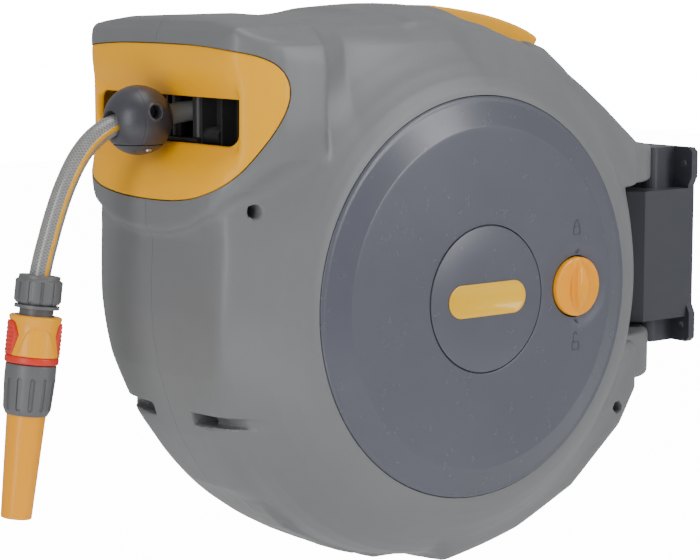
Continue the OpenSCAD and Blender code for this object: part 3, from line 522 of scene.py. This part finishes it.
# ---- grip ----
# A yellow handle bar bridges the hand well on top. It is snapped into the casing at both ends.
GRIP_TOP = [(38, 236.5), (63, 233.7), (84, 230.8), (103, 227.6), (119, 223.9), (131, 220.6), (143, 216.8), (153, 212.9),
            (161, 209), (166, 205.8)]
GRIP_UNDER = [(157, 192.5), (140, 199), (117, 206), (84, 213), (60, 215.5), (38, 218)]


def bevelled(piece, width, steps=3, degrees=35):
    edge = piece.modifiers.new("edge", "BEVEL")
    edge.width, edge.segments = width / 1000, steps
    edge.limit_method, edge.angle_limit = "ANGLE", math.radians(degrees)
    edge.harden_normals = False
    apply_modifiers(piece)
    soft_shading(piece, 35)
    return piece


top_grip = bevelled(bar("top_grip", GRIP_TOP + GRIP_UNDER, "X", -19, 19), 3.4, 5)
dress(top_grip, yellow_plastic, "reel", ["grip_bar"])

# ---- side covers ----
# A dark dish closes each side. Its bevelled rim sits a hair inside the casing's ring; a plain hub disc is
# pressed into the middle, and on the knob's side the skin dips round the lock knob.
COVER_R, KNOB_Y, KNOB_Z, KNOB_R = 165, 101, 2, 25


def eased(profile, radius, steps=4):
    """A closed outline with each corner rounded off."""
    out = []
    for before, here, after in zip(profile[-1:] + profile[:-1], profile, profile[1:] + profile[:1]):
        a, b, c = (np.array(p, float) for p in (before, here, after))
        reach_in, reach_out = np.linalg.norm(a - b), np.linalg.norm(c - b)
        cut = min(radius, reach_in * 0.45, reach_out * 0.45)
        start, end = b + (a - b) / reach_in * cut, b + (c - b) / reach_out * cut
        for i in range(steps + 1):
            t = i / steps
            out.append(tuple((1 - t) ** 2 * start + 2 * t * (1 - t) * b + t * t * end))
    return out


def finely(profile, step):
    """A closed outline with points no further apart than a step."""
    out = []
    for (ar, ah), (br, bh) in zip(profile, profile[1:] + profile[:1]):
        n = max(1, math.ceil(math.hypot(br - ar, bh - ah) / step))
        out += [(ar + (br - ar) * i / n, ah + (bh - ah) * i / n) for i in range(n)]
    return out


def spun(name, profile, stand, count=128, press=None):
    """A closed (radius, height) profile spun round its axis, in millimetres. press(angle, radius, height)
    says how far the wall is pushed in there."""
    angles = np.linspace(0, 2 * math.pi, count, endpoint=False)
    radius, height = (np.array(v, float) for v in zip(*profile))
    A, R = np.meshgrid(angles, radius, indexing="ij")
    H = np.broadcast_to(height, R.shape)
    if press is not None:
        R = R - press(A, R, H)
    points = np.stack([R * np.cos(A), R * np.sin(A), H], -1).reshape(-1, 3) / 1000
    n, m = len(profile), count
    faces = [(i * n + j, i * n + (j + 1) % n, (i + 1) % m * n + (j + 1) % n, (i + 1) % m * n + j)
             for i in range(m) for j in range(n)]
    mesh = bpy.data.meshes.new(name)
    mesh.from_pydata([stand @ Vector(p) for p in points], [], faces)
    bm = bmesh.new()
    bm.from_mesh(mesh)
    bmesh.ops.remove_doubles(bm, verts=bm.verts, dist=1e-6)
    bmesh.ops.recalc_face_normals(bm, faces=bm.faces)
    bm.to_mesh(mesh)
    bm.free()
    made = new_object(name, mesh)
    soft_shading(made, 35)
    return made


def sideways(x, y, z, flip=1):
    """Stands a spun piece's axis along X, its height zero at a point about the drum axis."""
    stand = Matrix(((0, 0, flip, 0), (0, flip, 0, 0), (-1, 0, 0, 0), (0, 0, 0, 1)))
    return Matrix.Translation(at_drum(x, y, z)) @ stand


RIM = [(0.2, 4.5), (139, 4.5), (161, -6), (COVER_R, -6), (COVER_R, 0.6), (163.4, 1.5), (160.8, 1.6), (141, 9),
       (61, 9), (61, 6.6), (0.2, 6.6)]


cover_right, cover_left = (spun("cover_" + name, finely(eased(RIM, 0.7, 3), 3.0), sideways(127 * flip, 0, 0, flip), 288)
                           for flip, name in ((1, "right"), (-1, "left")))
dip_centre = at_drum(0, KNOB_Y, KNOB_Z)
for v in cover_right.data.vertices:
    away = math.hypot(v.co.y - dip_centre.y, v.co.z - dip_centre.z) * 1000
    if away < 40 and v.co.x > 0.134:
        v.co.x -= 0.0012 * (0.5 + 0.5 * math.cos(math.pi * min(1, max(0, (away - 26) / 14))))
carve(cover_right, bar("knob_hole", circle(KNOB_Y, KNOB_Z, KNOB_R + 1.2, 96), "X", 60, 180))
carve(cover_left, bar("inlet_hole", circle(60, -100, 10.5, 64), "X", -180, -60))
cover_plastic = moulded("cover_plastic", (0.094, 0.098, 0.124), 0.26, grain=0.0, size=0.6, dust=0.0)
for piece, node in ((cover_right, "side_cover_right"), (cover_left, "side_cover_left")):
    soft_shading(piece, 30)
    dress(piece, cover_plastic, "reel", [node])
for flip, name in ((1, "right"), (-1, "left")):
    hub = spun("hub_plate_" + name, eased([(0.2, 0), (60, 0), (60, 2.3), (0.2, 2.6)], 0.5, 3),
               sideways(134 * flip, 0, 0, flip), 192)
    dress(hub, cover_plastic, "reel", ["hub_disc_" + name])


def lozenge(half_length, radius):
    return round_corner(half_length - radius, 0, radius, -90, 90, 24) + round_corner(
        radius - half_length, 0, radius, 90, 270, 24)


badge = bar("badge", lozenge(41.5, 13.5), "X", 136.5, 137.6)
carve(badge, bar("badge_field", lozenge(39.6, 11.6), "X", 137.25, 140))
bevelled(badge, 0.25, 2, 50)
badge_yellow = moulded("badge_yellow", (0.93, 0.52, 0.006), 0.33, grain=0.1, size=0.5, dust=0.02, Coat_Weight=0.35,
                       Specular_IOR_Level=0.28)
dress(badge, badge_yellow, "reel", ["badge_plate"])

# fine raised marks show which way the lock knob turns: a tick and a padlock at each end of its travel
mark_ink = moulded("mark_ink", (0.055, 0.058, 0.075), 0.42, grain=0.1)


def stroke(name, a, b, width=0.9):
    (ay, az), (by, bz) = a, b
    length = math.hypot(by - ay, bz - az)
    ny, nz = -(bz - az) / length * width / 2, (by - ay) / length * width / 2
    corners = [(ay + ny, az + nz), (ay - ny, az - nz), (by - ny, bz - nz), (by + ny, bz + nz)]
    return bar(name, corners, "X", 135.9, 136.25)


def padlock(name, y, z, lift):
    frame_corners = [(y - 3.6, z - 4), (y + 3.6, z - 4), (y + 3.6, z + 2.5), (y - 3.6, z + 2.5)]
    lines = list(zip(frame_corners, frame_corners[1:] + frame_corners[:1]))
    bow = [(y - 2.4, z + 2.5), (y - 2.4, z + 6 + lift), (y, z + 8.2 + lift), (y + 2.4, z + 6 + lift)]
    lines += list(zip(bow, bow[1:] + ([] if lift else [(y + 2.4, z + 2.5)])))
    return [stroke(f"{name}_{i}", a, b) for i, (a, b) in enumerate(lines)]


def joined(name, parts):
    with bpy.context.temp_override(active_object=parts[0], selected_editable_objects=parts):
        bpy.ops.object.join()
    parts[0].name = name
    return parts[0]


marks = joined("lock_marks", padlock("shut", 101, 50, 0) + padlock("open", 101, -48, 3)
               + [stroke("tick_top", (104, 33), (101, 29.5)), stroke("tick_low", (101, -26), (104, -29.5))])
dress(marks, mark_ink, "reel")

# ---- lock knob ----
# A yellow disc with a leaf-shaped ridge to turn it by. It is pinned to the spindle that works the pawl.
lay_grid((130, 74, -25), (150, 129, 29), 0.6)
about_y, about_z = Y - KNOB_Y, Z - KNOB_Z
disc = trim_off(np.hypot(about_y, about_z) - KNOB_R, np.abs(real_x[:, None, None] - 135.9) - 2.9, 1.6)
leaf = trim_off(trim_off(np.hypot(about_y - 43.6, about_z) - 50.4, np.hypot(about_y + 43.6, about_z) - 50.4, 2),
                trim_off(133 - real_x[:, None, None],
                         np.hypot(real_x[:, None, None] - 103.5, about_z) - 43.3, 3), 3.5)
leaf = trim_off(leaf, np.hypot(about_y, about_z) - KNOB_R + 0.5, 1.5)
knob = skin("turn_knob", melt(disc, leaf, 2.2))
soft_shading(knob, 50)
knob_yellow = moulded("knob_yellow", (1.0, 0.38, 0.0), 0.32, grain=0.1, size=0.5, dust=0.02, Coat_Weight=0.2,
                      Specular_IOR_Level=0.28)
dress(knob, knob_yellow, "lock", ["lock_knob"])

# ---- ball stop ----
# A dark ball in two moulded shells, closed round the hose from below with two screws. It stops the hose end
# from being drawn in, and its mouth opens wide so that the hose can bend over.
BALL_Y, BALL_Z, BALL_R, BALL_SPLIT, LINE_FALL = -247, 149, 27.5, -18.6, 0.11
lay_grid((-29, -276, 120), (29.1, -218, 178), 0.55)
ball_x, ball_y, ball_z = real_x[:, None, None], Y - BALL_Y, Z - BALL_Z
from_middle = np.sqrt(ball_x ** 2 + ball_y ** 2 + ball_z ** 2)
seam = 0.22 * np.maximum(0, 1 - np.abs(ball_y + 9) / 0.9)
ball = from_middle - BALL_R + seam
from_recess = np.hypot(ball_y, ball_z - 7.4)
ball = melt(ball, np.hypot(from_recess - 6.1, from_middle - BALL_R) - 0.7, 0.8)
ball = trim_off(ball, -np.maximum(from_recess - 5.3, 15 - np.abs(ball_x)), 0.6)
from_line = np.hypot(ball_x, ball_z - LINE_FALL * ball_y)
ball = trim_off(ball, 8.7 + np.maximum(-ball_y - 20, 0) * 0.42 - from_line, 1.2)
ball_plastic = moulded("ball_plastic", (0.052, 0.053, 0.066), 0.37, grain=0.12, size=0.5, dust=0.06)
for name, node, part in (("ball_upper", "ball_shell", BALL_SPLIT + 0.14 - ball_z),
                         ("ball_lower", "ball_cap", ball_z - BALL_SPLIT + 0.14)):
    shell = skin(name, trim_off(ball, part, 0.6))
    soft_shading(shell, 40)
    dress(shell, ball_plastic, "hose_guide", [node])

# ---- hose end ----
# The length of garden hose that stays outside: clear grey PVC over a diagonal braid, with three yellow
# stripes. It leaves the ball straight, bends down under its own weight and ends in the connector's nut.
HOSE_R = 0.00835
HOSE_ROUTE = [(0, -0.597, 0.1378), (0, -0.607, 0.1367), (0, -0.617, 0.1343), (0, -0.627, 0.1299), (0, -0.636, 0.1235),
              (0, -0.644, 0.1155), (0, -0.651, 0.106), (0, -0.657, 0.0955), (0, -0.6625, 0.0845), (0, -0.6675, 0.0725),
              (0, -0.672, 0.0605), (0, -0.676, 0.0485), (0, -0.6798, 0.037), (0, -0.6834, 0.0234), (0, -0.685, 0.0115)]


def smooth_line(points, parts=4):
    """A curve that passes through every point of a route."""
    p = [Vector(v) for v in points]
    p = [2 * p[0] - p[1]] + p + [2 * p[-1] - p[-2]]
    line = []
    for a, b, c, d in zip(p, p[1:], p[2:], p[3:]):
        for i in range(parts):
            t = i / parts
            line.append(0.5 * (2 * b + (c - a) * t + (2 * a - 5 * b + 4 * c - d) * t * t
                               + (3 * b - a - 3 * c + d) * t ** 3))
    return line + [p[-2]]


def hose_tube(name, line, radius, sides=72):
    """A round tube along a line, unrolled for its braid: u once round it, v in metres along it."""
    rings, run = [], [0.0]
    for i, here in enumerate(line):
        along = (line[min(i + 1, len(line) - 1)] - line[max(i - 1, 0)]).normalized()
        across = Vector((1, 0, 0))
        out = along.cross(across)
        rings.append([here + radius * (math.cos(a) * across + math.sin(a) * out)
                      for a in (2 * math.pi * k / sides for k in range(sides))])
        if i:
            run.append(run[-1] + (here - line[i - 1]).length)
    faces = [(i * sides + k, i * sides + (k + 1) % sides, (i + 1) * sides + (k + 1) % sides, (i + 1) * sides + k)
             for i in range(len(line) - 1) for k in range(sides)]
    wrap = [(k + dk, i + di) for i in range(len(line) - 1) for k in range(sides)
            for dk, di in ((0, 0), (1, 0), (1, 1), (0, 1))]
    ends = [tuple(range(sides - 1, -1, -1)), tuple((len(line) - 1) * sides + k for k in range(sides))]
    mesh = bpy.data.meshes.new(name)
    mesh.from_pydata([v for ring in rings for v in ring], [], faces + ends)
    laid = mesh.uv_layers.new(name="wrap").data
    for loop, (k, i) in zip(laid, wrap):
        loop.uv = (k / sides, run[i])
    bm = bmesh.new()
    bm.from_mesh(mesh)
    bmesh.ops.recalc_face_normals(bm, faces=bm.faces)
    bm.to_mesh(mesh)
    bm.free()
    made = new_object(name, mesh)
    soft_shading(made, 60)
    return made, run[-1]


clear_hose = Finish("clear_hose", 0.24, (0.4, 0.41, 0.4), Coat_Weight=0.5, Coat_Roughness=0.12,
                    Subsurface_Weight=0.12, Subsurface_Scale=0.004)
wrap = clear_hose.add("ShaderNodeSeparateXYZ", Vector=clear_hose.add(
    "ShaderNodeUVMap", {"uv_map": "wrap"}).outputs[0]).outputs


def hose_maths(operation, *values):
    node = clear_hose.add("ShaderNodeMath", {"operation": operation})
    for socket, value in zip(node.inputs, values):
        if isinstance(value, bpy.types.NodeSocket):
            clear_hose.tree.links.new(value, socket)
        else:
            socket.default_value = value
    return node.outputs[0]


def braid_thread(lean):
    """One family of threads: 12 of them wind round the hose, a turn in every 30 mm."""
    turns = hose_maths("ADD", hose_maths("MULTIPLY", wrap["X"], 12.0),
                       hose_maths("MULTIPLY", wrap["Y"], lean * 12 / 0.03))
    wave = hose_maths("ABSOLUTE", hose_maths("SUBTRACT", hose_maths("FRACT", turns), 0.5))
    return clear_hose.add("ShaderNodeMapRange", Value=wave, From_Min=0.06, From_Max=0.2, To_Min=1.0,
                          To_Max=0.0).outputs[0]


braid = hose_maths("MAXIMUM", braid_thread(1), braid_thread(-1))
third = hose_maths("ABSOLUTE", hose_maths("SUBTRACT", hose_maths("FRACT", hose_maths(
    "ADD", hose_maths("MULTIPLY", wrap["X"], 3.0), 0.5417)), 0.5))
stripe = clear_hose.add("ShaderNodeMapRange", Value=third, From_Min=0.095, From_Max=0.11, To_Min=1.0,
                        To_Max=0.0).outputs[0]
cloudy = clear_hose.add("ShaderNodeTexNoise", Vector=clear_hose.add("ShaderNodeTexCoord").outputs["Object"],
                        Scale=120.0, Detail=4.0).outputs["Fac"]
braid_tint = hose_maths("MULTIPLY", braid, hose_maths("MULTIPLY_ADD", cloudy, 0.7, 0.4))
coat = clear_hose.add("ShaderNodeMixRGB", Fac=braid_tint, Color1=(0.19, 0.192, 0.19, 1), Color2=(0.38, 0.38, 0.37, 1))
striped = clear_hose.add("ShaderNodeMixRGB", Fac=stripe, Color1=coat.outputs[0], Color2=(0.8, 0.4, 0.003, 1))
wavy = clear_hose.add("ShaderNodeBump", Strength=0.25, Distance=0.0002, Height=braid)
uneven = clear_hose.add("ShaderNodeMapRange", Value=cloudy, From_Min=0.3, From_Max=0.7, To_Min=0.2, To_Max=0.32)
clear_hose.to_shader(Base_Color=striped.outputs[0], Normal=wavy.outputs[0], Roughness=uneven.outputs[0])
hose_line = smooth_line(HOSE_ROUTE)
hose_end, hose_length = hose_tube("hose_end", hose_line, HOSE_R)
dress(hose_end, clear_hose.material, "hose_guide", ["outer_hose"])

# ---- hose nut ----
# A grey nut with a dozen flat grips clamps the hose on the connector's tail.
SPRAY = Matrix.Translation(at_drum(0, -338.4, 33.9)) @ Matrix.Rotation(math.radians(-7.7), 4, "X")


def grooves(count, width, depth, low, high, start=0.0, least=14.0):
    """Round-ended grooves sunk down a spun wall between two heights; gives how deep each place is."""
    def press(angle, radius, height):
        pitch = 360 / count
        off = np.abs((np.degrees(angle) - start + pitch / 2) % pitch - pitch / 2) * math.pi / 180 * radius
        past = np.maximum(np.maximum(low + width / 2 - height, height - high + width / 2), 0)
        inside = np.clip((width / 2 - np.hypot(off, past)) / 0.5, 0, 1)
        return depth * inside * inside * (3 - 2 * inside) * (radius > least)
    return press


connector_grey = moulded("connector_grey", (0.125, 0.128, 0.133), 0.4, grain=0.3, size=0.6, dust=0.05)
nut = spun("nut", finely(eased([(8.75, 0), (16, 0), (16, -3), (18.2, -4.1), (18.2, -19.6), (16.4, -22), (13.6, -22),
                                (13.6, -7), (8.75, -7)], 0.7, 3), 0.8), SPRAY, 480,
           grooves(12, 2.7, 1.1, -23, -4.2, 8))
dress(nut, connector_grey, "hose_guide", ["hose_nut"])

# ---- release collar ----
# A yellow sleeve slides up over the connector to let the nozzle go. It is waisted for finger and thumb, has an
# arched pad on two sides, ribbed red grips between them, and a red ring at its foot.
COLLAR_TOP, COLLAR_FOOT, PAD_ANGLE, GRIP_ANGLE = -31, -62, -20, 70
lay_grid((-24, -24, -64), (24, 24, -29), 0.45)
collar_x = real_x[:, None, None]
radius, angle = np.hypot(collar_x, Y), np.degrees(np.arctan2(Y, collar_x))
down = COLLAR_TOP - Z
off_pad = np.abs((angle - PAD_ANGLE + 90) % 180 - 90)
pad_side = (off_pad - np.interp(down, [9, 31], [27, 47])) * 0.35
pad = trim_off(pad_side, 8.6 + (off_pad / 27) ** 2 * 3 - down, 2.5)
raised = np.clip(-pad / 1.1, 0, 1)
wall = np.interp(down, [0, 1.5, 7.5, 12.5, 31], [20.3, 20.6, 18.9, 18.9, 20.7])
wall = wall + 0.95 * raised * raised * (3 - 2 * raised)
off_grip = (angle - GRIP_ANGLE + 90) % 180 - 90
grip_half = np.interp(Z, [COLLAR_FOOT, -46, -36], [9.4, 12, 8])
grip_side = np.abs(radius * np.sin(np.radians(off_grip))) - grip_half
grip = trim_off(trim_off(grip_side, Z + 36, 2), 18.45 - radius, 0.3)
sleeve_wall = trim_off(trim_off(radius - wall, Z - COLLAR_TOP, 2.2), COLLAR_FOOT - Z, 0.8)
sleeve_wall = np.maximum(sleeve_wall, np.maximum(14.5 - radius, -np.maximum(radius - 17, Z + 36)))
collar = skin("collar", trim_off(sleeve_wall, -(grip - 0.3), 0.5))
ribbed = 21.4 - 0.55 * (0.5 - 0.5 * np.cos(2 * math.pi * (Z + 62) / 3.3))
grips = skin("collar_finger_grips", trim_off(trim_off(grip, radius - ribbed, 0.8), COLLAR_FOOT + 0.1 - Z, 0.6))
collar_yellow = moulded("collar_yellow", (1.0, 0.41, 0.0), 0.34, grain=0.12, size=0.5, dust=0.02, Coat_Weight=0.15,
                        Specular_IOR_Level=0.28)
signal_red = moulded("signal_red", (0.72, 0.03, 0.014), 0.4, grain=0.15, size=0.5, dust=0.02)
for piece, material, slot, node in ((collar, collar_yellow, "trim_yellow", "release_collar"),
                                    (grips, signal_red, "signal_red", "collar_grips")):
    piece.data.transform(SPRAY @ Matrix.Translation(-DRUM))
    soft_shading(piece, 45)
    dress(piece, material, "release", [node])
ring = spun("collar_foot_ring", eased([(16.6, -62.05), (20.9, -62.05), (20.9, -68), (16.6, -68)], 1.9, 6), SPRAY, 192)
dress(ring, signal_red, "release", ["collar_ring"])

# ---- spray nozzle ----
# A grey grip sleeve with a dozen sunk flutes is fixed on the stem; the yellow barrel turns in it on a screw
# and moves down and up, which opens the jet. Both are moulded, and the barrel's rim is rounded over.
SLEEVE = [(9.2, -68.4), (19.7, -68.4), (19.8, -80), (18.5, -103), (15.8, -108.4), (15.75, -73), (9.2, -73)]
nozzle_sleeve = spun("grip_sleeve", finely(eased(SLEEVE, 1.2, 5), 0.8), SPRAY, 480,
                     grooves(12, 4.0, 1.4, -104, -78.5, 6))
dress(nozzle_sleeve, connector_grey, "hose_guide", ["nozzle_sleeve"])
barrel = spun("twist_barrel", finely(eased([(9.6, -84.5), (12.4, -84.5), (12.4, -102.4), (15.4, -102.4), (12, -188.4),
                                            (8.6, -188.4), (8, -176.4)], 1.5, 6), 1.2), SPRAY, 240)
nozzle_yellow = moulded("nozzle_yellow", (1.0, 0.39, 0.0), 0.36, grain=0.14, size=0.5, dust=0.02, Coat_Weight=0.12,
                        Specular_IOR_Level=0.28)
dress(barrel, nozzle_yellow, "barrel", ["nozzle_barrel"])
nodes = frame["nodes"]

# ---- works inside, bracket and fittings ----
# The pieces that show through the window or behind the reel, and the works inside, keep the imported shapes
# and take their finishes here: moulded plastics, rubber rings, brushed steel and the hose on the drum.
bracket_plastic = moulded("bracket_plastic", (0.045, 0.048, 0.06), 0.4, grain=0.25, size=0.9, dust=0.12)
works_plastic = moulded("works_plastic", (0.028, 0.028, 0.031), 0.42, grain=0.2, size=0.7, dust=0.1)
white_plastic = moulded("white_plastic", (0.72, 0.72, 0.68), 0.38, grain=0.1, size=0.5, dust=0.03)
rubber = moulded("rubber", (0.02, 0.02, 0.021), 0.68, grain=0.35, size=0.4, dust=0.12)
hose_coat = moulded("hose_coat", (0.3, 0.305, 0.295), 0.3, grain=0.3, size=1.2, dust=0.05, Coat_Weight=0.4)
steel = Finish("steel", 0.3, (0.62, 0.62, 0.63), Metallic=1.0)
drawn = steel.add("ShaderNodeMapping", Vector=steel.add("ShaderNodeTexCoord").outputs["Object"],
                  Scale=(40.0, 900.0, 900.0)).outputs[0]
brushed = steel.add("ShaderNodeTexNoise", Vector=drawn, Scale=1.0, Detail=4.0).outputs["Fac"]
steel.to_shader(
    Roughness=steel.add("ShaderNodeMapRange", Value=brushed, To_Min=0.2, To_Max=0.42).outputs[0],
    Base_Color=steel.add("ShaderNodeMixRGB", Fac=brushed, Color1=(0.5, 0.5, 0.51, 1),
                         Color2=(0.7, 0.7, 0.71, 1)).outputs[0],
    Normal=steel.add("ShaderNodeBump", Strength=0.1, Distance=0.0001, Height=brushed).outputs[0])
FINISHES = [
    (bracket_plastic, "wall_bracket pin_cap"),
    (steel.material, "swivel_pin housing_screws guide_rail mainspring ball_screws stop_valve_spring collar_spring "
                     "traverse_screw connector_jaws"),
    (white_plastic, "swivel_bushes axle_bearings traverse_bearings hose_collet"),
    (rubber, "inlet_o_ring water_seal connector_seal nozzle_o_rings"),
    (connector_grey, "inlet_elbow inlet_spigot connector_body"),
    (signal_red, "stop_valve"),
    (hose_coat, "wound_hose inner_hose"),
]
for node in nodes.values():
    node.data.materials.clear()
    node.data.materials.append(works_plastic)
for material, names in FINISHES:
    for name in names.split():
        nodes[name].data.materials[0] = material
for node in nodes.values():
    soft_shading(node, 35)
